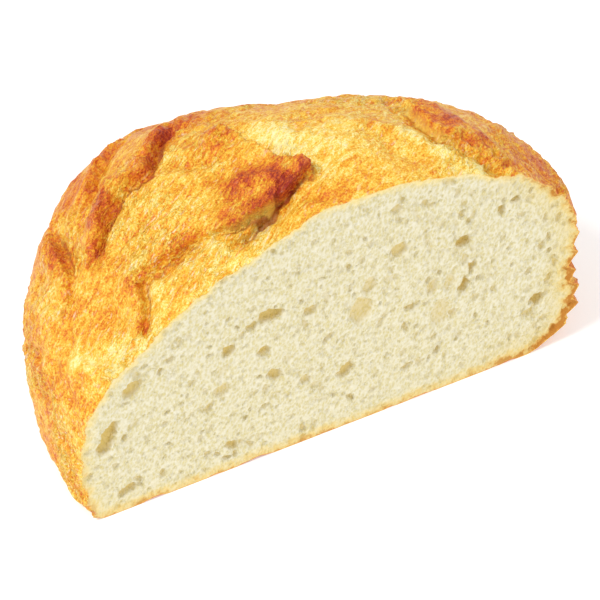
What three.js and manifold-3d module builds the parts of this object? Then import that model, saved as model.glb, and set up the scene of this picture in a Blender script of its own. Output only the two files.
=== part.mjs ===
// Bread loaf: a piece of a round country loaf, cut straight across near its middle.
//
// Frame: millimetres, +Z up. X runs along the cut, the cut face looks towards -Y and the
// crust dome is behind it. The origin is under the middle of the piece, on the plane it rests on.
//
// The whole loaf is made first, as one closed dome on a flat base. The front of it is then
// sliced off. Bread is baked as one piece, so the result is one solid with no inner layers.

import * as THREE from 'three';
import { mergeVertices } from 'three/addons/utils/BufferGeometryUtils.js';
import Module from 'manifold-3d';

// ---- Driving dimensions -------------------------------------------------------------------

// The dome is measured from the centre of its base. Each profile gives the distance from
// there to the crust, at these angles above the base plane.
const RISE_ANGLES = [0, 9, 20, 32, 45, 60, 75, 90];
const LEFT_PROFILE = [98, 101, 106, 109, 104, 104, 102, 110];
const BACK_PROFILE = [94, 104, 108, 102, 100, 101, 108, 110];
const RIGHT_PROFILE = [86, 101, 104, 115, 117, 115, 112, 110];

// The bottom edge draws in by this much, fading out over this height.
const BOTTOM_ROUNDING = 4;
const ROUNDING_HEIGHT = 2.2;

// The cut runs this far in front of the centre of the whole loaf.
const CUT_OFFSET = 20;

// Mean distance from the base centre to the crust. It turns angles into lengths on the crust.
const MEAN_RADIUS = 105;

// Soft swellings of the crust: bearing from +X, angle above the base, height and spread.
const SWELLINGS = [
  { bearing: 112, rise: 38, height: 8, spread: 36 },
  { bearing: 100, rise: 62, height: 5, spread: 36 },
  { bearing: 135, rise: 45, height: 7, spread: 33 },
  { bearing: 152, rise: 64, height: 3, spread: 16 },
  { bearing: 168, rise: 46, height: 2.5, spread: 14 },
  { bearing: 40, rise: 30, height: 2, spread: 18 },
];

// Points on the crust are given from the base centre, in millimetres. Only their direction
// matters, so they need not lie exactly on the dome.

// Folds: the crust tore along a slash and one lip lifted. The lip is on the right of the path
// as it is walked, seen from outside, and the gap under it is on the left.
const FOLDS = [
  {
    path: [[-3, -2, 110], [-12, -3, 105], [-24, -2, 100], [-35, -1, 97], [-48, 2, 93]],
    lip: 4.5, lipWidth: 16, gap: 3.5, gapWidth: 8,
  },
  {
    path: [[76, -27, 78], [66, -19, 92], [56, -12, 98], [49, -3, 102], [46, 8, 104], [49, 24, 100], [54, 38, 94]],
    lip: 3, lipWidth: 16, gap: 2.5, gapWidth: 6,
  },
];

// The lip's edge slopes down to the gap over twice this length.
const FOLD_SLOPE = 2;

// Creases: narrow valleys pressed or torn into the crust.
const CREASES = [
  {
    path: [[-14, 68, 85], [-34, 56, 91], [-44, 39, 93], [-58, 38, 85], [-68, 23, 78], [-78, 12, 71]],
    depth: 3, width: 6,
  },
  { path: [[-74, 50, 66], [-77, 37, 68], [-82, 20, 66], [-88, 8, 58]], depth: 2, width: 5 },
  { path: [[-10, 22, 107], [-24, 24, 102], [-33, 30, 99], [-44, 39, 93]], depth: 2.5, width: 6 },
  { path: [[-56, -3, 88], [-65, -6, 80], [-71, -16, 74]], depth: 2, width: 5 },
  { path: [[20, 84, 62], [44, 70, 64], [62, 52, 66]], depth: 2, width: 7 },
  { path: [[-40, 88, 44], [-10, 98, 40], [14, 96, 34]], depth: 2, width: 8 },
];

// Ribs: level ridges round the right-hand side, where the loaf lay against a ribbed form.
const RIBS = { bearing: 8, halfWidth: 42, lowest: 8, highest: 52, pitch: 8.8, height: 1.5 };

// Mesh spacing: steps round the whole loaf, and steps up the dome below and above the shoulder.
const ROUND_STEPS = 120;
const SIDE_STEPS = 28;
const TOP_STEPS = 18;
const SHOULDER_ANGLE = 36;

// ---- Shape of the crust -------------------------------------------------------------------

const radians = THREE.MathUtils.degToRad;

// Smooth curve through a profile's points, read at an angle in degrees.
function readProfile(profile, angle) {
  const last = RISE_ANGLES.length - 1;
  let i = 0;
  while (i < last - 1 && angle > RISE_ANGLES[i + 1]) {
    i += 1;
  }
  const slope = (k) => {
    const before = Math.max(k - 1, 0);
    const after = Math.min(k + 1, last);
    return (profile[after] - profile[before]) / (RISE_ANGLES[after] - RISE_ANGLES[before]);
  };
  const span = RISE_ANGLES[i + 1] - RISE_ANGLES[i];
  const t = (angle - RISE_ANGLES[i]) / span;
  const startSlope = slope(i) * span;
  // The apex has no slope, so that the dome closes smoothly.
  const endSlope = i + 1 === last ? 0 : slope(i + 1) * span;
  const t2 = t * t;
  const t3 = t2 * t;
  return (2 * t3 - 3 * t2 + 1) * profile[i] + (t3 - 2 * t2 + t) * startSlope
    + (3 * t2 - 2 * t3) * profile[i + 1] + (t3 - t2) * endSlope;
}

// Direction from the base centre, for a bearing and a rise in degrees.
function direction(bearing, rise) {
  const across = Math.cos(radians(rise));
  return new THREE.Vector3(
    Math.cos(radians(bearing)) * across,
    Math.sin(radians(bearing)) * across,
    Math.sin(radians(rise)),
  );
}

// Nearest place on a path: distance in mm, which side, and how far along (0 to 1).
function nearestOnPath(path, dir) {
  let best = { distance: Infinity, side: 1, along: 0 };
  for (let i = 0; i < path.length - 1; i += 1) {
    const a = path[i];
    const b = path[i + 1];
    const step = b.clone().sub(a);
    const t = THREE.MathUtils.clamp(dir.clone().sub(a).dot(step) / step.lengthSq(), 0, 1);
    const distance = dir.distanceTo(a.clone().addScaledVector(step, t)) * MEAN_RADIUS;
    if (distance < best.distance) {
      const side = Math.sign(a.clone().cross(b).dot(dir)) || 1;
      best = { distance, side, along: (i + t) / (path.length - 1) };
    }
  }
  return best;
}

// Fades a fold or crease out at both ends of its path.
function endFade(along) {
  const fromEnd = Math.min(along, 1 - along);
  return THREE.MathUtils.smoothstep(fromEnd, -0.12, 0.2);
}

const asDirections = (path) => path.map(([x, y, z]) => new THREE.Vector3(x, y, z).normalize());
const foldPaths = FOLDS.map((fold) => asDirections(fold.path));
const creasePaths = CREASES.map((crease) => asDirections(crease.path));

// Distance from the base centre to the crust.
function crustDistance(bearing, rise) {
  const c = Math.cos(radians(bearing));
  const s = Math.sin(radians(bearing));
  const sideProfile = c > 0 ? RIGHT_PROFILE : LEFT_PROFILE;
  let distance = c * c * readProfile(sideProfile, rise) + s * s * readProfile(BACK_PROFILE, rise);

  const dir = direction(bearing, rise);
  for (const swelling of SWELLINGS) {
    const away = dir.angleTo(direction(swelling.bearing, swelling.rise)) * MEAN_RADIUS;
    distance += swelling.height * Math.exp(-((away / swelling.spread) ** 2));
  }
  const smoothHeight = distance * Math.sin(radians(rise));
  distance -= BOTTOM_ROUNDING * Math.exp(-smoothHeight / ROUNDING_HEIGHT);
  FOLDS.forEach((fold, i) => {
    const near = nearestOnPath(foldPaths[i], dir);
    const fade = endFade(near.along);
    const onLip = THREE.MathUtils.smoothstep(-near.side * near.distance, -FOLD_SLOPE, FOLD_SLOPE);
    const lip = fold.lip * Math.exp(-((near.distance / fold.lipWidth) ** 2));
    const gap = fold.gap * Math.exp(-((near.distance / fold.gapWidth) ** 2));
    distance += fade * (onLip * lip - (1 - onLip) * gap);
  });
  CREASES.forEach((crease, i) => {
    const near = nearestOnPath(creasePaths[i], dir);
    distance -= endFade(near.along) * crease.depth * Math.exp(-((near.distance / crease.width) ** 2));
  });

  const height = distance * Math.sin(radians(rise));
  const turned = Math.abs(((bearing - RIBS.bearing + 540) % 360) - 180);
  const ribFade = THREE.MathUtils.smoothstep(RIBS.halfWidth - turned, 0, 14)
    * THREE.MathUtils.smoothstep(height, RIBS.lowest - 6, RIBS.lowest)
    * THREE.MathUtils.smoothstep(RIBS.highest - height, -6, 0);
  distance += ribFade * RIBS.height * Math.cos((2 * Math.PI * (height - RIBS.lowest)) / RIBS.pitch);
  return distance;
}

// ---- Whole loaf, as a closed dome on a flat base --------------------------------------------

function buildDome() {
  const rises = [];
  for (let i = 0; i <= SIDE_STEPS; i += 1) {
    rises.push((SHOULDER_ANGLE * i) / SIDE_STEPS);
  }
  for (let i = 1; i < TOP_STEPS; i += 1) {
    rises.push(SHOULDER_ANGLE + ((90 - SHOULDER_ANGLE) * i) / TOP_STEPS);
  }
  const positions = [];
  for (const rise of rises) {
    for (let k = 0; k < ROUND_STEPS; k += 1) {
      const bearing = (360 * k) / ROUND_STEPS;
      const point = direction(bearing, rise).multiplyScalar(crustDistance(bearing, rise));
      positions.push(point.x, point.y, point.z);
    }
  }
  const apex = positions.length / 3;
  positions.push(0, 0, crustDistance(90, 90));
  const baseCentre = apex + 1;
  positions.push(0, 0, 0);

  const faces = [];
  for (let ring = 0; ring < rises.length - 1; ring += 1) {
    for (let k = 0; k < ROUND_STEPS; k += 1) {
      const next = (k + 1) % ROUND_STEPS;
      const a = ring * ROUND_STEPS + k;
      const b = ring * ROUND_STEPS + next;
      const c = a + ROUND_STEPS;
      const d = b + ROUND_STEPS;
      faces.push(a, b, d, a, d, c);
    }
  }
  const topRing = (rises.length - 1) * ROUND_STEPS;
  for (let k = 0; k < ROUND_STEPS; k += 1) {
    const next = (k + 1) % ROUND_STEPS;
    faces.push(topRing + k, topRing + next, apex);
    faces.push(next, k, baseCentre);
  }
  const geometry = new THREE.BufferGeometry();
  geometry.setAttribute('position', new THREE.Float32BufferAttribute(positions, 3));
  geometry.setIndex(faces);
  return geometry;
}

// ---- Cut across -----------------------------------------------------------------------------

const wasm = await Module();
wasm.setup();

function toSolid(geometry) {
  const bare = geometry.clone();
  bare.deleteAttribute('normal');
  bare.deleteAttribute('uv');
  const welded = mergeVertices(bare, 1e-5);
  return new wasm.Manifold(new wasm.Mesh({
    numProp: 3,
    vertProperties: new Float32Array(welded.attributes.position.array),
    triVerts: new Uint32Array(welded.index.array),
  }));
}

function toGeometry(solid) {
  const mesh = solid.getMesh();
  const geometry = new THREE.BufferGeometry();
  geometry.setAttribute('position', new THREE.Float32BufferAttribute(mesh.vertProperties, 3));
  geometry.setIndex(Array.from(mesh.triVerts));
  return geometry;
}

// The block covers everything in front of the cut.
const blockSize = 400;
const frontBlock = new THREE.BoxGeometry(blockSize, blockSize, blockSize);
frontBlock.translate(0, -CUT_OFFSET - blockSize / 2, 0);
const loafGeometry = toGeometry(toSolid(buildDome()).subtract(toSolid(frontBlock)));

// Put the middle of the piece over the origin, resting on z = 0.
loafGeometry.computeBoundingBox();
const bounds = loafGeometry.boundingBox;
loafGeometry.translate(
  -(bounds.min.x + bounds.max.x) / 2,
  -(bounds.min.y + bounds.max.y) / 2,
  -bounds.min.z,
);
loafGeometry.computeVertexNormals();

const crust = new THREE.MeshStandardMaterial({ color: 0xe3a450, roughness: 0.7, metalness: 0 });
const loaf = new THREE.Mesh(loafGeometry, crust);
loaf.name = 'loaf';

const breadLoaf = new THREE.Group();
breadLoaf.add(loaf);

export default breadLoaf;
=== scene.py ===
"""Bread loaf cut across: the looks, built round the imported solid.

The visible loaf is one closed skin made of three patches that share their edges: the crust
dome, the cut face and the base. Lengths are in millimetres until the mesh is made.
"""

import math

import bpy
import numpy as np
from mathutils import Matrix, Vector
from mathutils.geometry import delaunay_2d_cdt


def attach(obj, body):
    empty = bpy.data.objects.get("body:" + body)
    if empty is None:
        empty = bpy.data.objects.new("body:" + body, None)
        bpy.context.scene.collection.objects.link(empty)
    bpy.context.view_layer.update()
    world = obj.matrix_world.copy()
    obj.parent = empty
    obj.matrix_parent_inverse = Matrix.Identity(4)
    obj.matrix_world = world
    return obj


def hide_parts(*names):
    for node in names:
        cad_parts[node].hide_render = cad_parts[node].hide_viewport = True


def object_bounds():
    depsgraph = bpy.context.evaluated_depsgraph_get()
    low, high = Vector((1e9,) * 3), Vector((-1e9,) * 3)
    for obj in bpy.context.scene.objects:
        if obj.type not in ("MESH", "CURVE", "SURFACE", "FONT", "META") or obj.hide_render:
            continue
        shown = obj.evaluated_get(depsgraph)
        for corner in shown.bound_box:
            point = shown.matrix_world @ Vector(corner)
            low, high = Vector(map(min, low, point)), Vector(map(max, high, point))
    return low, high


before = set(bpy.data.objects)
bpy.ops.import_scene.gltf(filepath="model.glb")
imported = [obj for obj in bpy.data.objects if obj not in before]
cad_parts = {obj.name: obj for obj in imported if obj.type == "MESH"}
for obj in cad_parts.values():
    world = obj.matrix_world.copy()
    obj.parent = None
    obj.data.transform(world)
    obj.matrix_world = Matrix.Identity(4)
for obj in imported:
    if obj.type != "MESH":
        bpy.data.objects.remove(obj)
cad_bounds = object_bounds()

MM = 0.001

# ---- Dimensions of the loaf, as in the solid ------------------------------------------------

RISE_ANGLES = [0, 9, 20, 32, 45, 60, 75, 90]
LEFT_PROFILE = [98, 101, 106, 109, 104, 104, 102, 110]
BACK_PROFILE = [94, 104, 108, 102, 100, 101, 108, 110]
RIGHT_PROFILE = [86, 101, 104, 115, 117, 115, 112, 110]
BOTTOM_ROUNDING = 4
ROUNDING_HEIGHT = 2.2
CUT_OFFSET = 20
MEAN_RADIUS = 105

# The middle of the whole loaf's base, in the frame of the solid: the cut is its front plane.
BASE_CENTRE = np.array([-0.43, cad_bounds[0][1] / MM + CUT_OFFSET, 0.0])

# Bearing, rise, height and spread of each swelling.
SWELLINGS = [
    (112, 38, 8, 36),
    (100, 62, 5, 36),
    (135, 45, 7, 33),
    (152, 64, 3, 16),
    (168, 46, 2.5, 14),
    (40, 30, 2, 18),
]

# Points on the crust are given from the base centre. Only their direction matters.
# Folds: the lip is on the right of the path as it is walked, the gap on its left. "strength"
# and "wall", the bare torn wall below the lip, are read at even steps along the path. "over" is
# how far the lip leans over the gap, and "wander" how far the line strays.
FOLDS = [
    # The ear.
    {
        "path": [
            (-17, 50, 96), (-15, 34, 103), (-12, 20, 107), (-9, 8, 109), (-6, 3, 110),
            (-2, -1, 110), (-4, -3, 109), (-9, -3, 107), (-14, -5, 105), (-20, -5, 101),
            (-28, -4, 99), (-38, -2, 96), (-50, 1, 92),
        ],
        "strength": [0, 0.25, 0.35, 0.5, 0.55, 0.85, 0.9, 0.6, 0],
        "lip": 4.4, "lip_width": 12, "gap": 3.8, "gap_width": 6,
        "over": 3.2, "wander": 1.4, "edge_bake": 1.0,
        "wall": [0, 0, 0.1, 0.1, 0, 0.2, 0.7, 1, 0.5],
    },
    # The fold on the right.
    {
        "path": [
            (76, -27, 78), (66, -19, 92), (56, -12, 98), (49, -3, 102), (46, 8, 104), (49, 24, 100),
            (54, 38, 94),
        ],
        "strength": [0, 0.6, 1, 0.8, 0],
        "lip": 2.4, "lip_width": 10, "gap": 2.4, "gap_width": 5,
        "over": 1.2, "wander": 1.4, "edge_bake": 0.25,
        "wall": [0.2, 0.3, 0.6, 0.7, 0.5],
    },
    # The long fold on the left flank.
    {
        "path": [
            (-19, 59, 92), (-30, 54, 93), (-36, 49, 93), (-41, 43, 93), (-44, 38, 93),
            (-50, 39, 90), (-56, 37, 86), (-61, 33, 84), (-65, 29, 80), (-69, 23, 77),
            (-76, 18, 72),
        ],
        "strength": [0, 0.9, 1, 0.8, 1, 1, 0.8, 0],
        "lip": 3.2, "lip_width": 6, "gap": 3.2, "gap_width": 3.5,
        "over": 1.8, "wander": 1.1, "edge_bake": 0.5,
        "wall": [0],
    },
    # The fold below it.
    {
        "path": [
            (-72, 60, 62), (-75, 48, 66), (-77, 36, 68), (-79, 25, 68), (-86, 8, 64),
        ],
        "strength": [0, 1, 0.8, 0],
        "lip": 2.6, "lip_width": 6, "gap": 2.8, "gap_width": 3.5,
        "over": 1.2, "wander": 1.4, "edge_bake": 0.35,
        "wall": [0],
    },
    # The fold at the upper left.
    {
        "path": [
            (-36, 72, 76), (-48, 62, 78), (-58, 52, 78), (-66, 44, 75),
        ],
        "strength": [0, 1, 1, 0],
        "lip": 2.2, "lip_width": 5, "gap": 2.2, "gap_width": 3.5,
        "over": 1.0, "wander": 1.4, "edge_bake": 0.3,
        "wall": [0],
    },
    # The fold from the ear down to the cut.
    {
        "path": [
            (-38, 3, 96), (-46, 0, 93), (-57, 0, 87), (-65, 0, 81), (-67, -7, 79), (-71, -16, 73),
        ],
        "strength": [0, 0.8, 0.7, 1, 0.5],
        "lip": 2.2, "lip_width": 6, "gap": 2.6, "gap_width": 3,
        "over": 1.2, "wander": 1.2, "edge_bake": 0.35,
        "wall": [0],
    },
    # A small pleat at the left end of the cut.
    {
        "path": [
            (-84, 4, 66), (-88, -4, 61), (-86, -11, 62), (-82, -19, 65),
        ],
        "strength": [0, 1, 1, 0.4],
        "lip": 1.6, "lip_width": 5, "gap": 1.2, "gap_width": 3,
        "over": 0.6, "wander": 1.2, "edge_bake": -0.3,
        "wall": [0],
    },
    # The tear below the ear.
    {
        "path": [
            (-17, -6, 102), (-25, -6.5, 99.5), (-31, -8, 97), (-38, -11, 93),
        ],
        "strength": [0.5, 1, 0.8, 0],
        "lip": 1.6, "lip_width": 4, "gap": 3.0, "gap_width": 3,
        "over": 1.2, "wander": 0.8, "edge_bake": 0.1,
        "wall": [0.5, 0.5, 0.3],
    },
]

# Creases: path, depth, width.
CREASES = [
    ([(-13, 30, 104), (-22, 24, 103), (-31, 27, 99), (-40, 36, 94)], 2.0, 3.5),
    ([(-28, 14, 101), (-22, 17, 103), (-17, 13, 105), (-13, 8, 107)], 1.4, 2.4),
    ([(-63, 18, 84), (-72, 8, 76), (-80, -2, 70)], 1.6, 2.6),
    ([(-80, 22, 66), (-86, 12, 62), (-89, -2, 58)], 1.4, 2.4),
    ([(20, 84, 62), (44, 70, 64), (62, 52, 66)], 2, 6),
    ([(-40, 88, 44), (-10, 98, 40), (14, 96, 34)], 2, 7),
    ([(-91, 10, 52), (-94, -2, 50), (-93, -12, 50)], 1.4, 2.6),
    ([(0, 27, 109), (10, 27, 107), (25, 24, 105)], 1.2, 2.2),
    ([(-4, 16, 110), (4, 4, 110), (2, -6, 110)], 1.2, 4),
    ([(22, 14, 108), (26, -2, 108), (34, -14, 104)], 1.0, 4),
    ([(-9, -9, 106), (-6, -13, 106), (-2, -17, 108)], 1.6, 2.5),
]

# Ridges: path, height, width.
RIDGES = [
    ([(-52, 45, 88), (-58, 40, 85), (-62, 36, 82), (-66, 34, 78)], 1.8, 4.5),
    ([(53, 30, 94), (54, 14, 99), (57, 4, 99), (62, -5, 96), (72, -14, 88)], 1.8, 5),
    ([(-90, 40, 54), (-95, 22, 51), (-98, 6, 46)], 2.0, 9),
    ([(80, 8, 76), (86, -6, 70), (88, -18, 64)], 1.5, 8),
    ([(-27, 11, 101), (-20, 6, 103), (-13, 3, 105)], 2.4, 4),
    ([(-8, -1, 108), (-4, -1, 110)], 1.6, 2.5),
    ([(20, 16, 109), (28, 10, 108), (36, 2, 107), (44, -9, 104), (54, -17, 99), (64, -23, 91)], 1.8, 3.5),
    ([(-16, 36, 102), (-22, 30, 102), (-26, 30, 100)], 2.8, 6),
    ([(-84, 30, 62), (-90, 16, 58), (-95, 2, 52)], 1.2, 4),
]

# Baked patches of the crust: a point on it, spread, strength.
BROWNED = [
    ((-19, 6, 103), 5, 1.2), ((-13, 3, 105), 4, 1.3), ((-5, -1, 109), 3.5, 0.8), ((-27, 8, 101), 5, 0.7),
    ((-11, -3, 107), 3, 0.9), ((-17, -3, 104), 3, 0.9), ((-24, -1, 101), 3.5, 0.8), ((-32, 1, 99), 4, 0.5),
    ((-19, 33, 103), 6, 0.4), ((-25, 30, 101), 5, 0.3), ((-59, 40, 84), 4, 0.9), ((-55, 44, 86), 4, 0.6),
    ((-64, 35, 80), 4, 0.7), ((-77, 36, 68), 6, 0.4), ((-30, 54, 93), 4, 0.7), ((-20, 58, 92), 5, 0.5),
    ((-93, 24, 50), 8, 0.4), ((-98, 10, 40), 10, 0.3), ((54, 14, 99), 6, 0.7), ((55, 3, 100), 5, 1.1),
    ((60, -6, 96), 5, 0.9), ((54, 30, 94), 6, 0.6), ((28, 12, 108), 4, 0.3), ((12, 19, 110), 6, 0.25),
    ((1, -17, 109), 4, 0.5), ((-6, -14, 106), 4, 0.45), ((17, -9, 110), 5, 0.25), ((-69, 23, 77), 3, 0.5),
    ((82, -8, 78), 9, 0.3), ((-66, 1, 80), 2.5, 0.5), ((-69, -14, 76), 2.5, 0.8), ((46, 12, 103), 5, 0.35),
]

# Pale patches, where the dough opened late in the oven.
PALE = [
    ((-6, 22, 108), 7, 1.0), ((2, 10, 110), 12, 1.1), ((20, 0, 108), 12, 0.7), ((36, 0, 107), 3, 1.2),
    ((44, -10, 104), 3, 1.3), ((54, -18, 98), 3.5, 1.2), ((-68, -15, 77), 4, 0.4), ((-57, -15, 85), 5, 0.3),
    ((-76, -16, 69), 5, 0.4), ((-40, -14, 93), 6, 0.35), ((-28, -14, 99), 6, 0.4), ((-86, -9, 62), 4, 0.8),
    ((-8, -12, 106), 6, 0.4), ((-54, 37, 87), 3, 1.0), ((-12, 27, 106), 5, 0.8), ((-86, 22, 60), 5, 0.5),
    ((-62, -10, 82), 4, 0.8), ((-78, -12, 67), 4.5, 1.0), ((-86, -2, 58), 4, 1.1),
]

# Ribs: level ridges round the right-hand side, where the loaf lay against a ribbed form.
RIBS = {"bearing": 8, "half_width": 42, "lowest": 8, "highest": 52, "pitch": 8.8, "height": 1.7}

# Large holes in the crumb: place across and up the cut, length, width, tilt in degrees, depth.
HOLES = [
    (-26, 66, 10, 5, 0, 4), (-33, 64, 6, 3, -5, 2.5), (-42, 57, 6, 4, 35, 3),
    (-29, 51, 6, 4, 10, 3), (-25, 38, 7.5, 4.5, -45, 3), (-45, 40, 7, 5, 15, 2),
    (-50, 34, 6, 3, 70, 2), (-44, 49, 8, 4, 40, 1), (-78, 56, 10, 5, 45, 3),
    (-88, 37, 16, 5, 66, 4), (-42, 11, 6, 3.5, -40, 3), (-82, 9, 7.5, 4, 5, 3),
    (-86, 23, 4, 3, 60, 1.5), (-81, 32, 5, 3, 30, 1), (-44, 6, 4.5, 1.6, -10, 2.5),
    (-25, 28, 5, 4, 0, 1), (-20, 43, 5, 3, 70, 1), (-63, 70, 6, 2, 20, 1),
    (-98, 22, 4, 2.4, 60, 1.5), (-11, 62, 6, 4, 0, 2.5), (-13, 30, 4.6, 4, 0, 2),
    (-77, 40, 4, 3, 30, 1), (49, 68, 6.5, 5, 45, 4.5), (69, 79, 4, 3, 0, 3),
    (64, 76, 5.5, 2, 100, 3), (72, 71, 4, 2.5, -60, 1.5), (50, 47, 9, 3, 88, 4),
    (53, 54, 6, 2.5, 80, 3), (82, 26, 6, 4.5, 10, 4.5), (77, 42, 4, 3, 0, 2),
    (86, 35, 5, 3, 70, 2.5), (84, 56, 4, 1.6, 90, 2), (88, 63, 4, 2.5, 80, 2),
    (50, 59, 6, 3, 80, 1.5), (28, 46, 5, 3, 0, 2.5), (9, 53, 13, 9, 85, 2.2),
    (41, 38, 14, 8, 85, 1.6), (44, 51, 8, 4.5, 85, 1.5), (37, 52, 8, 4, 80, 2),
    (22, 94, 5, 4, 0, 2), (33, 92, 5, 3, -20, 2), (23, 75, 7, 6, 60, 2.5), (12, 63, 9, 5, 70, 1.8),
    (21, 63, 5, 4, 0, 1.2), (36, 83, 8, 2, -60, 1), (52, 79, 4, 2, 60, 1.4), (78, 21, 6, 3, 0, 2),
    (85, 15, 4, 2.4, 20, 1.6), (3, 27, 8, 4.5, 60, 3), (28, 17, 5, 3, 40, 2),
    (40, 20, 4, 2.5, 50, 2.5), (2, 42, 6, 1.6, 85, 1), (55, 39, 4, 2.5, 90, 1.5),
    (46, 35, 4, 2.5, 70, 2), (-5, 67, 5, 2.5, 30, 1), (0, 83, 4, 2, 90, 0.8),
]

# The large holes are drawn wider and shallower than listed.
HOLE_WIDTH_SHARE = 1.2
HOLE_DEPTH_SHARE = 0.8

# Pores of the crumb: many small ones and some wider ones.
SMALL_PORES = 2600
WIDE_PORES = 170

# The way the wrinkles of the crust run.
WRINKLE_WAY = np.array([0.80, 0.48, 0.36])

# Mesh spacing on the crust beside the folds (two and four times that elsewhere), along the edge
# of the cut, over the cut face, along the base ring and over the base.
CRUST_STEP = 0.56
EDGE_STEP = 0.6
CRUMB_STEP = 0.6
RING_STEP = 1.2
RING_RADIUS = 92
BASE_STEP = 4.0


def smoothstep(x, low=0.0, high=1.0):
    t = np.clip((x - low) / (high - low), 0, 1)
    return t * t * (3 - 2 * t)


def bell(distance, width):
    """1 at no distance, falling off smoothly to either side."""
    return np.exp(-((distance / width) ** 2))


# ---- Noise ----------------------------------------------------------------------------------


def gradient_noise(points, seed):
    """Smooth noise of about -1 to 1, at points given in units of its grain."""
    rng = np.random.default_rng(seed)
    order = np.concatenate([rng.permutation(256)] * 2)
    slopes = rng.normal(size=(256, 3))
    slopes /= np.linalg.norm(slopes, axis=1)[:, None]
    cell = np.floor(points).astype(int)
    inside = points - cell
    ease = inside**3 * (inside * (inside * 6 - 15) + 10)
    total = np.zeros(len(points))
    for corner in np.ndindex(2, 2, 2):
        x, y, z = ((cell + corner) & 255).T
        key = order[order[order[x] + y] + z]
        offset = inside - corner
        weight = np.prod(np.where(corner, ease, 1 - ease), axis=1)
        total += weight * np.sum(slopes[key] * offset, axis=1)
    return total * 1.5


def layered_noise(points, grain, seed, layers=4, fade=0.5):
    total = np.zeros(len(points))
    strength = 1.0
    for layer in range(layers):
        # Each layer is moved along, so that their grids don't line up.
        total += strength * gradient_noise(points / grain + 17.3 * layer, seed + layer)
        grain = grain / 2
        strength *= fade
    return total


# ---- Shape of the crust ---------------------------------------------------------------------


def read_profile(profile, angle):
    """Smooth curve through a profile's points, read at angles in degrees."""
    knots = np.array(RISE_ANGLES, float)
    values = np.array(profile, float)
    last = len(knots) - 1
    before = np.maximum(np.arange(last + 1) - 1, 0)
    after = np.minimum(np.arange(last + 1) + 1, last)
    slopes = (values[after] - values[before]) / (knots[after] - knots[before])
    slopes[last] = 0
    i = np.clip(np.searchsorted(knots, angle, side="right") - 1, 0, last - 1)
    span = knots[i + 1] - knots[i]
    t = (angle - knots[i]) / span
    return (
        (2 * t**3 - 3 * t**2 + 1) * values[i]
        + (t**3 - 2 * t**2 + t) * slopes[i] * span
        + (3 * t**2 - 2 * t**3) * values[i + 1]
        + (t**3 - t**2) * slopes[i + 1] * span
    )


def direction(bearing, rise):
    """Unit vectors from the base centre, at bearings and rises in degrees."""
    b = np.radians(bearing)
    r = np.radians(rise)
    return np.stack([np.cos(b) * np.cos(r), np.sin(b) * np.cos(r), np.sin(r) + 0 * b], axis=-1)


def base_distance(bearing, rise):
    """Distance from the base centre to the smooth crust."""
    c = np.cos(np.radians(bearing))
    s = np.sin(np.radians(bearing))
    side = np.where(c > 0, read_profile(RIGHT_PROFILE, rise), read_profile(LEFT_PROFILE, rise))
    distance = c * c * side + s * s * read_profile(BACK_PROFILE, rise)
    d = direction(bearing, rise)
    for bump_bearing, bump_rise, height, spread in SWELLINGS:
        away = np.arccos(np.clip(d @ direction(bump_bearing, bump_rise), -1, 1)) * MEAN_RADIUS
        distance = distance + height * bell(away, spread)
    # The bottom edge is rounded off.
    height = distance * np.sin(np.radians(rise))
    return distance - BOTTOM_ROUNDING * np.exp(-height / ROUNDING_HEIGHT)


def nearest_on_path(path, d):
    """Distance in mm (positive on the right of the path), place along it, and the way to its left."""
    ends = np.array(path, float)
    ends /= np.linalg.norm(ends, axis=1)[:, None]
    best = np.full(len(d), 1e9)
    signed = np.zeros(len(d))
    along = np.zeros(len(d))
    leftward = np.zeros_like(d)
    for i in range(len(ends) - 1):
        a = ends[i]
        b = ends[i + 1]
        step = b - a
        normal = np.cross(a, b)
        t = np.clip((d - a) @ step / (step @ step), 0, 1)
        distance = np.linalg.norm(a + t[:, None] * step - d, axis=1) * MEAN_RADIUS
        closer = distance < best
        best = np.where(closer, distance, best)
        signed = np.where(closer, np.where(d @ normal > 0, -distance, distance), signed)
        along = np.where(closer, (i + t) / (len(ends) - 1), along)
        leftward[closer] = normal / np.linalg.norm(normal)
    return signed, along, leftward


def read_along(values, along):
    """Reads a list given at even steps along a path."""
    return np.interp(along, np.linspace(0, 1, len(values)), values)


def end_fade(along, length=0.2):
    """Fades a line out at both of its ends."""
    return smoothstep(np.minimum(along, 1 - along), -0.08, length)


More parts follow.
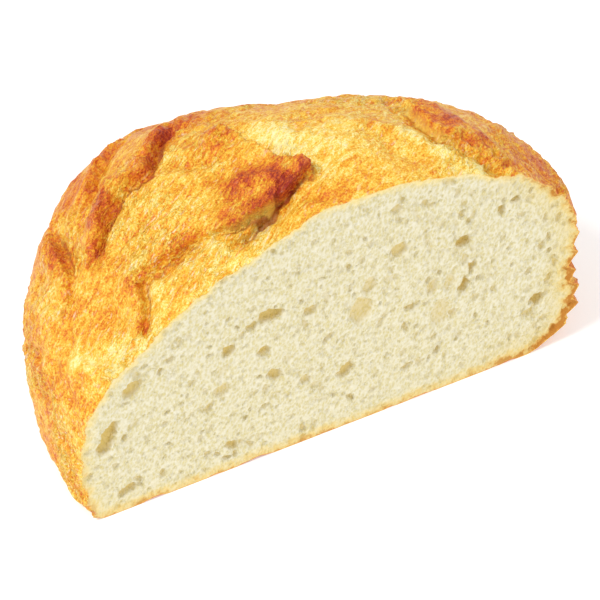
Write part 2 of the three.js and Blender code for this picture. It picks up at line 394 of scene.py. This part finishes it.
def crust_relief(d, point):
    """Moves of the smooth crust at directions d, and the masks that colour it."""
    n = len(d)
    lift = np.zeros(n)
    shift = np.zeros_like(d)
    mask = {name: np.zeros(n) for name in ("bake_and_shade", "pale", "wall", "crevice_shade", "skin")}

    for k, fold in enumerate(FOLDS):
        signed, along, leftward = nearest_on_path(fold["path"], d)
        signed = signed + fold["wander"] * layered_noise(point, 6, 40 + k, 3)
        strength = read_along(fold["strength"], along) * smoothstep(along * (1 - along), 0, 0.02)
        on_lip = smoothstep(signed, -0.8, 0.8)
        under = np.minimum(signed, 0)
        lift += strength * on_lip * fold["lip"] * bell(np.maximum(signed - 1, 0), fold["lip_width"])
        lift -= strength * (1 - on_lip) * fold["gap"] * bell(under + 1.5, fold["gap_width"])
        shift += (strength * on_lip * fold["over"] * bell(signed, 5))[:, None] * leftward
        near_edge = smoothstep(signed, -0.8, 0.4) * bell(signed - 0.8, 2.6)
        mask["bake_and_shade"] += fold["edge_bake"] * strength * near_edge
        bare = read_along(fold["wall"], along)
        mask["wall"] += bare * strength * bell(signed + 0.7, 1.4)
        covered = np.maximum(1 - 1.5 * bare, 0)
        mask["bake_and_shade"] += fold["edge_bake"] * strength * covered * bell(signed + 1, 1.5)
        # Painted shade in the crevice beside the lip.
        mask["crevice_shade"] += strength * (fold["gap"] - 0.4) / 2.6 * bell(signed + 2.0, 1.1)
        mask["pale"] += 0.3 * strength * (1 - on_lip) * bell(signed + 5, 4)
    for path, depth, width in CREASES:
        signed, along, _ = nearest_on_path(path, d)
        signed = signed + 0.9 * layered_noise(point, 6, 61, 3)
        near = end_fade(along) * bell(signed, width)
        lift -= depth * near
        # Painted shade: narrow creases are drawn darker.
        mask["bake_and_shade"] += 0.12 * depth * near * (width < 5)
    for path, height, width in RIDGES:
        signed, along, _ = nearest_on_path(path, d)
        signed = signed + 0.9 * layered_noise(point, 7, 65, 2)
        lift += height * end_fade(along) * bell(signed, width)

    # Lumps, and skin wrinkles that run from the top down to the left-hand end.
    lift += 1.0 * layered_noise(point, 28, 11, 2) - 0.8 * smoothstep(point[:, 2], 80, 105)
    stretched = point - 0.62 * (point @ WRINKLE_WAY)[:, None] * WRINKLE_WAY
    bend = np.stack([layered_noise(point, 16, 21 + k, 2) for k in range(3)], axis=1)
    wrinkle = 1 - 2.6 * np.abs(layered_noise(stretched + 2.6 * bend, 9, 27, 4, 0.6))
    wrinkled = 0.4 + 0.6 * smoothstep(layered_noise(point, 26, 31, 2), -0.35, 0.35)
    # The slash on top is smoother.
    slashed = smoothstep(point[:, 0], -8, 4) * smoothstep(50 - point[:, 0], 0, 12)
    wrinkled = wrinkled * (1 - 0.5 * slashed * smoothstep(point[:, 2], 96, 103))
    lift += 1.35 * wrinkled * np.clip(wrinkle, -0.6, 1)
    lift += 0.35 * layered_noise(point, 3.4, 71, 3)

    height = point[:, 2]
    bearing = np.degrees(np.arctan2(d[:, 1], d[:, 0]))
    turned = np.abs((bearing - RIBS["bearing"] + 180) % 360 - 180)
    ribbed = (
        smoothstep(RIBS["half_width"] - turned, 0, 14)
        * smoothstep(height, RIBS["lowest"] - 6, RIBS["lowest"])
        * smoothstep(RIBS["highest"] - height, -6, 0)
    )
    level = height - RIBS["lowest"] + 1.2 * layered_noise(point, 12, 83, 2)
    tooth = np.abs((level / RIBS["pitch"]) % 1 - 0.5) * 4 - 1
    lift += ribbed * RIBS["height"] * tooth
    mask["bake_and_shade"] += 0.3 * ribbed * tooth

    for name, patches in (("bake_and_shade", BROWNED), ("pale", PALE)):
        for place, spread, strength in patches:
            centre = np.array(place) / np.linalg.norm(place)
            away = np.linalg.norm(d - centre, axis=1) * MEAN_RADIUS
            away = away + 2.0 * layered_noise(point, 7, 91, 3)
            mask[name] += strength * bell(np.maximum(away, 0), spread)
    # Painted shade and light: the crust is drawn darker in the hollows of the wrinkles and paler on their
    # crests.
    hollow_shade = smoothstep(-wrinkle, -0.2, 0.4)
    crest_light = smoothstep(wrinkle, 0.75, 0.95)
    mask["bake_and_shade"] += wrinkled * (0.16 * hollow_shade - 0.10 * crest_light)
    # The upper edge of the cut is pale. The far side and the lower crust browned evenly.
    from_cut = point[:, 1] + CUT_OFFSET
    mask["pale"] += 0.4 * bell(from_cut, 3) * smoothstep(70 - point[:, 0], 0, 10)
    mask["bake_and_shade"] += 0.42 * smoothstep(point[:, 1], 25, 80) + 0.1 * smoothstep(35 - height, 0, 35)
    mask["bake_and_shade"] += 0.36 * smoothstep(point[:, 0], 55, 80) + 0.1 * smoothstep(-point[:, 0], 40, 70)
    behind = smoothstep(point[:, 1], 25, 65)
    to_right = smoothstep(point[:, 0], 40, 70)
    mask["skin"] = wrinkled * (1 - 0.75 * behind) * (1 - 0.5 * to_right)
    return lift, shift, mask


def crust_points(bearing, rise):
    """Finished crust at bearings and rises, relative to the base centre, and its masks."""
    d = direction(bearing, rise)
    smooth = d * base_distance(bearing, rise)[:, None]
    lift, shift, mask = crust_relief(d, smooth)
    move = d * lift[:, None] + shift
    # The cut stays in its plane, and the base ring on the table.
    from_cut = smooth[:, 1] + CUT_OFFSET
    move[:, 1] *= smoothstep(from_cut, 0, 5)
    move[:, 2] *= smoothstep(smooth[:, 2], 0, 4)
    return smooth + move, mask


# ---- Outline of the cut ---------------------------------------------------------------------


def cut_outline(step):
    """Bearings and rises along the crust where the knife crossed it, from right to left."""
    angle = np.radians(np.linspace(0, 180, 1500))
    reach = np.full(len(angle), 95.0)
    for _ in range(60):
        x = reach * np.cos(angle)
        z = reach * np.sin(angle)
        far = np.sqrt(x**2 + CUT_OFFSET**2 + z**2)
        bearing = np.degrees(np.arctan2(-CUT_OFFSET + 0 * x, x))
        rise = np.degrees(np.arcsin(z / far))
        reach = reach * (1 + 0.9 * (base_distance(bearing, rise) - far) / far)
    x = reach * np.cos(angle)
    z = reach * np.sin(angle)
    length = np.concatenate([[0], np.cumsum(np.hypot(np.diff(x), np.diff(z)))])
    count = int(length[-1] / step)
    even = np.linspace(0, length[-1], count + 1)
    x = np.interp(even, length, x)
    z = np.interp(even, length, z)
    far = np.sqrt(x**2 + CUT_OFFSET**2 + z**2)
    return np.degrees(np.arctan2(-CUT_OFFSET + 0 * x, x)), np.degrees(np.arcsin(np.clip(z / far, 0, 1)))


def triangulate(loop, inner):
    """Triangles over a closed loop of flat points and the points inside it."""
    flat = np.concatenate([loop, inner])
    edges = [(i, (i + 1) % len(loop)) for i in range(len(loop))]
    result = delaunay_2d_cdt([Vector(p) for p in flat], edges, [], 1, 1e-7, True)
    source = np.array([origin[0] for origin in result[3]])
    faces = source[np.array(result[2])]
    a, b, c = (flat[faces[:, k]] for k in range(3))
    turn = (b[:, 0] - a[:, 0]) * (c[:, 1] - a[:, 1]) - (b[:, 1] - a[:, 1]) * (c[:, 0] - a[:, 0])
    faces[turn < 0] = faces[turn < 0][:, ::-1]
    # Triangles between three points of the loop may lie outside it, across a hollow.
    doubtful = (faces < len(loop)).all(axis=1)
    keep = np.ones(len(faces), bool)
    keep[doubtful] = inside_loop(flat[faces[doubtful]].mean(axis=1), loop)
    return faces[keep]


def inside_loop(points, loop):
    """Which points lie inside a closed loop."""
    x, y = points.T
    crossing = np.zeros(len(points), bool)
    for i in range(len(loop)):
        x1, y1 = loop[i]
        x2, y2 = loop[(i + 1) % len(loop)]
        spans = (y1 > y) != (y2 > y)
        if spans.any():
            at = x1 + (y[spans] - y1) * (x2 - x1) / (y2 - y1)
            crossing[spans] ^= x[spans] < at
    return crossing


def distance_to_loop(points, loop):
    """Distance to the nearest point of a closely spaced loop."""
    best = np.full(len(points), 1e9)
    for start in range(0, len(points), 4000):
        part = points[start : start + 4000]
        gap = part[:, None, :] - loop[None, :, :]
        best[start : start + 4000] = np.sqrt((gap**2).sum(axis=2).min(axis=1))
    return best


# ---- Crust patch ----------------------------------------------------------------------------


def dome_samples():
    """Bearings and rises over the dome, closer together near the folds and in front."""
    rings = int(math.radians(90) * MEAN_RADIUS / CRUST_STEP / 4) * 4
    rng = np.random.default_rng(3)
    bearings = []
    rises = []
    for ring in range(1, rings):
        rise = 90 * ring / rings
        around = max(3, int(2 * math.pi * MEAN_RADIUS * math.cos(math.radians(rise)) / CRUST_STEP / 4)) * 4
        step = np.arange(around)
        turn = (step + 0.5 * (ring % 2)) / around * 360
        d = direction(turn, np.full(around, rise))
        keep = (step % 4 == 0) & (ring % 4 == 0)
        seen = (d[:, 1] < 0.45) | (rise > 62)
        keep |= seen & (step % 2 == 0) & (ring % 2 == 0)
        for fold in FOLDS:
            signed, _, _ = nearest_on_path(fold["path"], d)
            keep |= (signed > -4) & (signed < 4)
        bearings.append(turn[keep])
        rises.append(np.full(keep.sum(), rise) + rng.uniform(-0.02, 0.02, keep.sum()))
    bearing = np.concatenate(bearings)
    rise = np.concatenate(rises)
    smooth_y = direction(bearing, rise)[:, 1] * base_distance(bearing, rise)
    keep = smooth_y > -CUT_OFFSET + 0.45
    return bearing[keep], rise[keep]


def map_flat(bearing, rise):
    """The dome laid flat round its top, for its triangles and its texture places."""
    away = 90 - rise
    return np.stack([away * np.cos(np.radians(bearing)), away * np.sin(np.radians(bearing))], axis=1)


cut_bearing, cut_rise = cut_outline(EDGE_STEP)
ring_count = int(math.radians(cut_bearing[-1] % 360 - cut_bearing[0]) * RING_RADIUS / RING_STEP)
# The loop goes over the cut from right to left, then back round behind along the base ring.
ring_bearing = np.linspace(cut_bearing[-1] % 360, cut_bearing[0], ring_count + 1)[1:-1]
loop_bearing = np.concatenate([cut_bearing, ring_bearing])
loop_rise = np.concatenate([cut_rise, np.zeros(len(ring_bearing))])
inner_bearing, inner_rise = dome_samples()

dome_faces = triangulate(map_flat(loop_bearing, loop_rise), map_flat(inner_bearing, inner_rise))
dome_bearing = np.concatenate([loop_bearing, inner_bearing])
dome_rise = np.concatenate([loop_rise, inner_rise])
dome, masks = crust_points(dome_bearing, dome_rise)
cut_count = len(cut_bearing)
loop_count = len(loop_bearing)
dome[:cut_count, 1] = -CUT_OFFSET
dome[0, 2] = dome[cut_count - 1, 2] = 0
dome[cut_count:loop_count, 2] = 0

# ---- Cut face -------------------------------------------------------------------------------

outline = dome[:cut_count][:, [0, 2]]
foot_count = int((outline[0, 0] - outline[-1, 0]) / EDGE_STEP)
foot_x = np.linspace(outline[-1, 0], outline[0, 0], foot_count + 1)[1:-1]
# The foot of the cut waves a little off the table, and meets it at both ends.
foot_place = np.stack([foot_x, 0 * foot_x, 0 * foot_x], axis=1)
foot_wave = np.clip(layered_noise(foot_place, 13, 401, 3), 0, 1)
foot_z = 1.3 * foot_wave * smoothstep(98 - np.abs(foot_x), 0, 10)
foot = np.stack([foot_x, foot_z], axis=1)
cut_loop = np.concatenate([outline, foot])

# Hole list to depth: a raster over the cut face, read later at the mesh points.
RASTER = 0.25
raster_x = np.arange(-112, 112, RASTER)
raster_z = np.arange(-2, 122, RASTER)
depth_map = np.zeros((len(raster_z), len(raster_x)))
grid_x, grid_z = np.meshgrid(raster_x, raster_z)
flat_grid = np.stack([grid_x.ravel(), 0 * grid_x.ravel(), grid_z.ravel()], axis=1)
warp_x = 0.9 * layered_noise(flat_grid, 3.2, 201, 3).reshape(grid_x.shape)
warp_z = 0.9 * layered_noise(flat_grid, 3.2, 211, 3).reshape(grid_x.shape)


def add_hole(x, z, length, width, tilt, depth, steep, warp):
    """Presses one oval hole with steep walls into the depth map."""
    reach = max(length, width) * 0.75 + 1
    columns = slice(*np.searchsorted(raster_x, (x - reach, x + reach)))
    rows = slice(*np.searchsorted(raster_z, (z - reach, z + reach)))
    dx = grid_x[rows, columns] + warp * warp_x[rows, columns] - x
    dz = grid_z[rows, columns] + warp * warp_z[rows, columns] - z
    c = math.cos(math.radians(tilt))
    s = math.sin(math.radians(tilt))
    u = (dx * c + dz * s) / (length / 2)
    v = (dz * c - dx * s) / (width / 2)
    q = u * u + v * v
    bowl = depth * smoothstep(1.15 - q, 0, steep) * (1 - 0.25 * np.clip(q, 0, 1))
    depth_map[rows, columns] = np.maximum(depth_map[rows, columns], bowl)


for x, z, length, width, tilt, depth in HOLES:
    width = HOLE_WIDTH_SHARE * width
    depth = HOLE_DEPTH_SHARE * depth
    add_hole(x, z, length, width, tilt, depth, steep=0.75, warp=1.2)

pores = np.random.default_rng(77)
for _ in range(SMALL_PORES):
    x = pores.uniform(-104, 104)
    z = pores.uniform(0, 112)
    # Pores stretch upwards on the right-hand side and lie along the crust near it.
    right = float(smoothstep(x, -20, 60))
    size = 0.9 + 0.5 * pores.exponential()
    longer = size * (1.15 + 1.3 * right * pores.random())
    tilt = pores.normal(90, 25 + 60 * (1 - right))
    depth = min(0.3 + 0.35 * size * pores.random(), 1.2)
    add_hole(x, z, min(longer, 4), min(size, 2.6), tilt, depth, steep=0.8, warp=0.5)
for _ in range(WIDE_PORES):
    x = 104 * (1 - 2 * pores.random() ** 1.3)
    z = pores.uniform(4, 100)
    right = float(smoothstep(x, -20, 60))
    size = pores.uniform(1.2, 2.6)
    tilt = pores.normal(85, 15 + 60 * (1 - right))
    length = size * pores.uniform(1.2, 2.2)
    add_hole(x, z, length, size, tilt, pores.uniform(0.8, 1.8), steep=0.6, warp=0.8)


def read_raster(field, x, z):
    column = np.clip((x - raster_x[0]) / RASTER, 0, len(raster_x) - 1.01)
    row = np.clip((z - raster_z[0]) / RASTER, 0, len(raster_z) - 1.01)
    i = row.astype(int)
    j = column.astype(int)
    a = row - i
    b = column - j
    return (
        field[i, j] * (1 - a) * (1 - b)
        + field[i + 1, j] * a * (1 - b)
        + field[i, j + 1] * (1 - a) * b
        + field[i + 1, j + 1] * a * b
    )


rows = np.arange(0.4, 118, CRUMB_STEP * 0.866)
columns = np.arange(-106, 106, CRUMB_STEP)
lattice = np.array([(x + 0.5 * CRUMB_STEP * (k % 2), z) for k, z in enumerate(rows) for x in columns])
lattice = lattice[inside_loop(lattice, cut_loop)]
from_edge = distance_to_loop(lattice, cut_loop)
lattice = lattice[from_edge > 0.32]
from_edge = from_edge[from_edge > 0.32]
cut_faces = triangulate(cut_loop, lattice)

crumb_depth = read_raster(depth_map, lattice[:, 0], lattice[:, 1])
at = np.stack([lattice[:, 0], 0 * lattice[:, 0], lattice[:, 1]], axis=1)
unevenness = 0.35 * layered_noise(at, 26, 301, 2)
unevenness = unevenness + 0.16 * layered_noise(at * (1, 1, 0.6), 2.4, 311, 2)
settle = smoothstep(from_edge, 0, 2.5)
crumb_y = (crumb_depth + 0.5 + unevenness) * settle
crumb = np.stack([lattice[:, 0], -CUT_OFFSET + np.maximum(crumb_y, 0), lattice[:, 1]], axis=1)

# How strongly the rim of the cut is baked: at the bottom and on the right, a little at the lower left.
rim_bake = np.maximum(
    0.75 * smoothstep(5 - lattice[:, 1], 0, 3),
    smoothstep(lattice[:, 0], 40, 85) * smoothstep(100 - lattice[:, 1], 0, 25),
)
low_right = smoothstep(lattice[:, 0], 55, 80) * smoothstep(45 - lattice[:, 1], 0, 15)
low_left = smoothstep(-lattice[:, 0], 60, 90) * smoothstep(45 - lattice[:, 1], 0, 30)
rim_bake = np.maximum(rim_bake, 0.35 * low_left)

# ---- Base -----------------------------------------------------------------------------------

foot_points = np.stack([foot_x, 0 * foot_x - CUT_OFFSET, foot_z], axis=1)
base_loop = np.concatenate([
    dome[cut_count:loop_count, :2],
    dome[:1, :2],
    foot_points[::-1, :2],
    dome[cut_count - 1 : cut_count, :2],
])
span = np.arange(-100, 100, BASE_STEP)
base_grid = np.array([(x, y) for y in np.arange(-CUT_OFFSET, 110, BASE_STEP) for x in span])
base_grid = base_grid[inside_loop(base_grid, base_loop)]
base_grid = base_grid[distance_to_loop(base_grid, base_loop) > 1.5]
base_faces = triangulate(base_loop, base_grid)

# ---- One closed mesh ------------------------------------------------------------------------

base_points = np.concatenate([base_grid, np.zeros((len(base_grid), 1))], axis=1)
points = np.concatenate([dome, foot_points, crumb, base_points])
foot_start = len(dome)
crumb_start = foot_start + len(foot_points)
base_start = crumb_start + len(crumb)

cut_index = np.concatenate([
    np.arange(cut_count),
    foot_start + np.arange(len(foot_points)),
    crumb_start + np.arange(len(crumb)),
])
base_index = np.concatenate([
    np.arange(cut_count, loop_count),
    [0],
    foot_start + np.arange(len(foot_points))[::-1],
    [cut_count - 1],
    base_start + np.arange(len(base_points)),
])
faces = np.concatenate([dome_faces, cut_index[cut_faces], base_index[base_faces][:, ::-1]])

mesh = bpy.data.meshes.new("bread_loaf")
mesh.from_pydata(((points + BASE_CENTRE) * MM).tolist(), [], faces.tolist())
mesh.validate()
loaf = bpy.data.objects.new("bread_loaf", mesh)
bpy.context.collection.objects.link(loaf)


def add_mask(name, values):
    layer = mesh.attributes.new(name, "FLOAT", "POINT")
    layer.data.foreach_set("value", values.astype(np.float32))


total = len(points)


def spread_mask(on_dome, on_cut=0.0, on_base=0.0, on_foot=0.0):
    """One value for each point of the mesh: crust dome, foot of the cut, cut face, base."""
    values = np.full(total, float(on_base))
    values[:foot_start] = on_dome
    values[foot_start:crumb_start] = on_foot
    values[crumb_start:base_start] = on_cut
    return values


add_mask("bake_and_shade", spread_mask(masks["bake_and_shade"], 0.0, 0.6, 0.8))
add_mask("pale", spread_mask(masks["pale"]))
add_mask("wall", spread_mask(masks["wall"]))
add_mask("crevice_shade", spread_mask(masks["crevice_shade"]))
add_mask("skin", spread_mask(masks["skin"]))
add_mask("crumb", spread_mask(0.0, 1.0))
rim_distance = from_edge - 1.6 * low_right + 0.9 * smoothstep(3 - lattice[:, 1], 0, 3)
add_mask("edge", spread_mask(0.0, rim_distance))
# Hole depth, which drives the painted shade in the holes.
add_mask("pit_shade", spread_mask(0.0, crumb_depth))
add_mask("rim", spread_mask(0.0, rim_bake))

# Texture places: the dome unrolled from its top, the cut face and the base side by side.
place_dome = map_flat(dome_bearing, dome_rise)
place_cut = np.concatenate([cut_loop, lattice])
place_base = np.concatenate([base_loop, base_grid])
uv_dome = (place_dome + (95, 35)) / 190 * 0.62 + (0.01, 0.37)
uv_cut = (place_cut + (105, 0)) / 210 * 0.62 + (0.01, 0.01)
uv_base = (place_base + (105, 25)) / 210 * 0.34 + (0.65, 0.5)
corner_uv = np.concatenate([uv_dome[dome_faces], uv_cut[cut_faces], uv_base[base_faces][:, ::-1]])
uv_layer = mesh.uv_layers.new(name="OFBake")
uv_layer.data.foreach_set("uv", corner_uv.reshape(-1).astype(np.float32))

mesh.shade_smooth()
mesh.set_sharp_from_angle(angle=math.radians(62))

# ---- Materials ------------------------------------------------------------------------------


def linear(red, green, blue):
    def channel(v):
        v = v / 255
        return v / 12.92 if v <= 0.04045 else ((v + 0.055) / 1.055) ** 2.4

    return (channel(red), channel(green), channel(blue), 1)


bread = bpy.data.materials.new("bread")
bread.use_nodes = True
tree = bread.node_tree
tree.nodes.clear()


def node(kind, **settings):
    made = tree.nodes.new(kind)
    for key, value in settings.items():
        setattr(made, key, value)
    return made


def link(source, target):
    tree.links.new(source, target)


def attribute(name):
    return node("ShaderNodeAttribute", attribute_name=name).outputs["Fac"]


def put(value, socket):
    if isinstance(value, bpy.types.NodeSocket):
        link(value, socket)
    else:
        socket.default_value = value


def math_node(operation, a, b=0.0, clamp=False):
    made = node("ShaderNodeMath", operation=operation, use_clamp=clamp)
    put(a, made.inputs[0])
    put(b, made.inputs[1])
    return made.outputs[0]


def map_range(value, low, high, to_low=0.0, to_high=1.0):
    made = node("ShaderNodeMapRange", interpolation_type="SMOOTHSTEP")
    put(value, made.inputs["Value"])
    made.inputs["From Min"].default_value = low
    made.inputs["From Max"].default_value = high
    made.inputs["To Min"].default_value = to_low
    made.inputs["To Max"].default_value = to_high
    return made.outputs["Result"]


def mix_colour(factor, a, b, blend="MIX"):
    made = node("ShaderNodeMix", data_type="RGBA", blend_type=blend)
    put(factor, made.inputs["Factor"])
    put(a, made.inputs["A"])
    put(b, made.inputs["B"])
    for socket in made.outputs:
        if socket.type == "RGBA":
            return socket


place = node("ShaderNodeTexCoord").outputs["Object"]


def noise(grain_mm, detail=3.0, roughness=0.55, vector=None):
    made = node("ShaderNodeTexNoise")
    link(vector or place, made.inputs["Vector"])
    made.inputs["Scale"].default_value = 1000 / grain_mm
    made.inputs["Detail"].default_value = detail
    made.inputs["Roughness"].default_value = roughness
    return made.outputs["Fac"]


def ramp(factor, stops):
    made = node("ShaderNodeValToRGB")
    link(factor, made.inputs["Fac"])
    while len(made.color_ramp.elements) < len(stops):
        made.color_ramp.elements.new(0.5)
    for element, (position, colour) in zip(made.color_ramp.elements, stops):
        element.position = position
        element.color = colour
    return made.outputs["Color"]


def stretched_place(way, share):
    """Object coordinates drawn out along a direction, for streaks."""
    dot = node("ShaderNodeVectorMath", operation="DOT_PRODUCT")
    link(place, dot.inputs[0])
    dot.inputs[1].default_value = tuple(way)
    part = node("ShaderNodeVectorMath", operation="SCALE")
    part.inputs[0].default_value = tuple(way)
    link(math_node("MULTIPLY", dot.outputs["Value"], share), part.inputs["Scale"])
    rest = node("ShaderNodeVectorMath", operation="SUBTRACT")
    link(place, rest.inputs[0])
    link(part.outputs["Vector"], rest.inputs[1])
    return rest.outputs["Vector"]


# Thin wrinkles of the skin: 1 on a wrinkle's line, 0 away from it.
along_skin = stretched_place(WRINKLE_WAY, 0.65)


def wrinkle_lines(grain_mm, thickness):
    away = math_node("ABSOLUTE", math_node("SUBTRACT", noise(grain_mm, 4, 0.6, along_skin), 0.5))
    return map_range(away, 0, thickness, 1, 0)


thin_wrinkle = math_node("MAXIMUM", wrinkle_lines(4.5, 0.06), wrinkle_lines(13, 0.022))
thin_wrinkle = math_node("MULTIPLY", thin_wrinkle, attribute("skin"))

# Crust colour: one level of baking, with painted shade in creases and wrinkle hollows, from pale dough to
# dark edge, broken up by speckle.
mottle = map_range(noise(11, 4), 0.32, 0.68, -0.07, 0.07)
freckle = map_range(noise(1.6, 4, 0.75, along_skin), 0.36, 0.64, -0.14, 0.14)
grain = map_range(noise(0.7, 3, 0.7), 0.34, 0.66, -0.15, 0.15)
level = math_node("ADD", 0.38, math_node("MULTIPLY", attribute("bake_and_shade"), 0.36))
level = math_node("SUBTRACT", level, math_node("MULTIPLY", attribute("pale"), 0.2))
level = math_node("SUBTRACT", level, math_node("MULTIPLY", thin_wrinkle, 0.18))
level = math_node("ADD", level, mottle)
level = math_node("ADD", level, freckle)
level = math_node("ADD", level, grain)
crust_colour = ramp(level, [
    (0.0, linear(247, 230, 158)),
    (0.16, linear(241, 208, 96)),
    (0.36, linear(232, 174, 42)),
    (0.52, linear(221, 136, 24)),
    (0.72, linear(202, 88, 22)),
    (1.0, linear(146, 36, 18)),
])
# Pale flecks, partly flour and partly painted highlights, fewer where the crust is browned.
flour_and_glint = map_range(noise(1.3, 3, 0.7, along_skin), 0.56, 0.70, 0, 0.6)
flour_and_glint = math_node("MULTIPLY", flour_and_glint, math_node("ADD", 0.3, attribute("skin")))
flour_and_glint = math_node("MULTIPLY", flour_and_glint, map_range(attribute("bake_and_shade"), 0.15, 0.7, 1, 0.15), clamp=True)
crust_colour = mix_colour(flour_and_glint, crust_colour, linear(250, 232, 196))
wall_colour = linear(222, 190, 90)
crust_colour = mix_colour(map_range(attribute("wall"), 0.2, 0.8, 0, 0.8), crust_colour, wall_colour)
# Painted shade: the crevices under the fold lips are drawn dark red-brown.
crevice_shade = map_range(attribute("crevice_shade"), 0.25, 1.0, 0, 0.8)
crust_colour = mix_colour(crevice_shade, crust_colour, linear(150, 62, 20))

# Crumb: a foam of thin pale walls round small cells, the cells drawn darker as painted shade in the pores.
bent = node("ShaderNodeVectorMath", operation="MULTIPLY_ADD")
wobble = node("ShaderNodeTexNoise")
link(place, wobble.inputs["Vector"])
wobble.inputs["Scale"].default_value = 1000 / 2.5
wobble.inputs["Detail"].default_value = 2
link(wobble.outputs["Color"], bent.inputs[0])
bent.inputs[1].default_value = (0.0012, 0.0012, 0.0012)
link(stretched_place((0.25, 0, 0.97), 0.45), bent.inputs[2])
cells = node("ShaderNodeTexVoronoi", feature="SMOOTH_F1")
link(bent.outputs["Vector"], cells.inputs["Vector"])
cells.inputs["Scale"].default_value = 1000 / 0.95
cells.inputs["Smoothness"].default_value = 0.25
foam = map_range(cells.outputs["Distance"], 0.15, 0.75)

# Crumb colour: cream, with painted shade in the holes that makes them darker and yellower, baked at its
# rim.
speckle = map_range(noise(1.2, 4, 0.65), 0.3, 0.7, 0, 0.4)
# Painted shade: the cells are darker than their walls. The speckle is the crumb's own uneven tone.
cell_shade_and_speckle = math_node("ADD", math_node("MULTIPLY", foam, 0.6), speckle)
crumb_colour = mix_colour(cell_shade_and_speckle, linear(211, 197, 138), linear(231, 225, 203))
crumb_colour = mix_colour(map_range(attribute("pit_shade"), 0.1, 2.8, 0, 0.8), crumb_colour, linear(214, 184, 94))
rim = math_node("ADD", attribute("edge"), map_range(noise(4, 3, 0.65), 0.3, 0.7, -1.2, 1.2))
crumb_colour = mix_colour(map_range(rim, -0.5, 5.0, 0.75, 0), crumb_colour, linear(244, 220, 140))
warm = math_node("MULTIPLY", map_range(rim, 0, 15, 0.5, 0), attribute("rim"))
crumb_colour = mix_colour(warm, crumb_colour, linear(228, 204, 128))
golden = math_node("MULTIPLY", map_range(rim, 0.2, 3.4, 0.7, 0), attribute("rim"))
crumb_colour = mix_colour(golden, crumb_colour, linear(220, 178, 88))
brown = math_node("MULTIPLY", map_range(rim, 0.1, 1.5, 0.95, 0), attribute("rim"))
crumb_colour = mix_colour(brown, crumb_colour, linear(190, 122, 40))
is_crumb = attribute("crumb")
colour = mix_colour(is_crumb, crust_colour, crumb_colour)

# Relief finer than the mesh.
crust_bump = math_node("MULTIPLY", noise(1.6, 4, 0.65), 0.7)
crust_bump = math_node("ADD", crust_bump, math_node("MULTIPLY", thin_wrinkle, 0.5))
crumb_bump = math_node("MULTIPLY", noise(0.9, 3, 0.6), 0.35)
crumb_bump = math_node("ADD", math_node("MULTIPLY", foam, 0.25), crumb_bump)
height = node("ShaderNodeMix", data_type="FLOAT")
link(is_crumb, height.inputs[0])
link(crust_bump, height.inputs[2])
link(crumb_bump, height.inputs[3])
bump = node("ShaderNodeBump")
bump.inputs["Strength"].default_value = 0.8
bump.inputs["Distance"].default_value = 0.001
link(height.outputs[0], bump.inputs["Height"])

shader = node("ShaderNodeBsdfPrincipled")
link(colour, shader.inputs["Base Color"])
link(bump.outputs["Normal"], shader.inputs["Normal"])
shader.inputs["Specular IOR Level"].default_value = 0.3
gloss = map_range(noise(3, 3), 0.3, 0.7, 0.36, 0.6)
roughness = node("ShaderNodeMix", data_type="FLOAT")
link(is_crumb, roughness.inputs[0])
link(gloss, roughness.inputs[2])
roughness.inputs[3].default_value = 0.9
link(roughness.outputs[0], shader.inputs["Roughness"])
link(shader.outputs["BSDF"], node("ShaderNodeOutputMaterial").inputs["Surface"])
mesh.materials.append(bread)

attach(loaf, "root")
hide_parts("loaf")

# ---- Camera, floor and light ----------------------------------------------------------------

AZIMUTH = math.radians(-28)
ELEVATION = math.radians(43.4)
CAMERA_DISTANCE = 0.890
CAMERA_AIM = Vector((0.0024, -0.0276, 0.0325))
SENSOR_WIDTH = 36
LENS = 149.5
LIGHT_AIM = Vector((0, 0, 0.05))
backwards = Vector((
    math.sin(AZIMUTH) * math.cos(ELEVATION),
    -math.cos(AZIMUTH) * math.cos(ELEVATION),
    math.sin(ELEVATION),
))
camera_data = bpy.data.cameras.new("camera")
camera_data.sensor_width = SENSOR_WIDTH
camera_data.lens = LENS
camera = bpy.data.objects.new("camera", camera_data)
camera.location = CAMERA_AIM + backwards * CAMERA_DISTANCE
camera.rotation_euler = (-backwards).to_track_quat("-Z", "Y").to_euler()
bpy.context.collection.objects.link(camera)
bpy.context.scene.camera = camera

# A white lit floor.
floor_mesh = bpy.data.meshes.new("floor")
half = 3.0
corners = [(-half, -half, 0), (half, -half, 0), (half, half, 0), (-half, half, 0)]
floor_mesh.from_pydata(corners, [], [(0, 1, 2, 3)])
floor = bpy.data.objects.new("floor", floor_mesh)
floor_material = bpy.data.materials.new("floor")
floor_material.use_nodes = True
floor_shader = floor_material.node_tree.nodes["Principled BSDF"]
floor_shader.inputs["Base Color"].default_value = (0.93, 0.93, 0.93, 1)
floor_shader.inputs["Roughness"].default_value = 0.9
floor_shader.inputs["Emission Color"].default_value = (1, 1, 1, 1)
floor_shader.inputs["Emission Strength"].default_value = 0.2
floor_mesh.materials.append(floor_material)
bpy.context.collection.objects.link(floor)


def area_light(name, location, size, power):
    data = bpy.data.lights.new(name, "AREA")
    data.size = size
    data.energy = power
    lamp = bpy.data.objects.new(name, data)
    lamp.location = location
    lamp.rotation_euler = (LIGHT_AIM - Vector(location)).to_track_quat("-Z", "Y").to_euler()
    bpy.context.collection.objects.link(lamp)


area_light("key", (-0.75, -0.15, 1.1), 0.35, 10)
area_light("fill", (0.5, -1.3, 0.7), 1.0, 4.5)
area_light("back", (1.0, 0.9, 0.6), 1.0, 3)
world = bpy.data.worlds.new("studio")
world.use_nodes = True
world.node_tree.nodes["Background"].inputs["Color"].default_value = (1, 1, 1, 1)
world.node_tree.nodes["Background"].inputs["Strength"].default_value = 0.68
bpy.context.scene.world = world
bpy.context.scene.view_settings.view_transform = "Standard"
